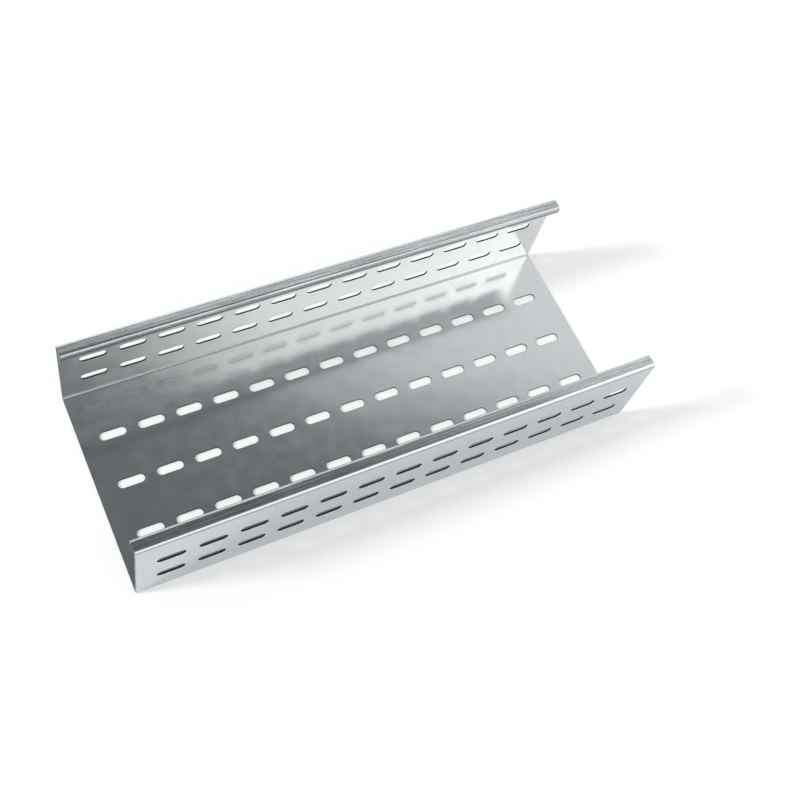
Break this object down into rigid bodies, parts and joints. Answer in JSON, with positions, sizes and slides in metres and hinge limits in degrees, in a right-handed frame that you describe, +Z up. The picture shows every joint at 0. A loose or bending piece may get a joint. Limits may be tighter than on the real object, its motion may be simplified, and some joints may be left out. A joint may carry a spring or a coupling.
{
  "type": "perforated cable tray",
  "caption": "Open galvanised sheet-steel channel with in-turned rims and rows of slots in its base and walls, which carries cables and bolts to brackets.",
  "frame": {"origin": "under the middle of the base, on the surface that the tray lies on", "axes": "+X along the tray, +Y across it, +Z up out of its open top"},
  "size_m": [0.5, 0.2, 0.1],
  "materials": {
    "galvanised_sheet": "galvanised, satin"
  },
  "bodies": {
    "root": {"tray": "galvanised_sheet"}
  },
  "joints": []
}
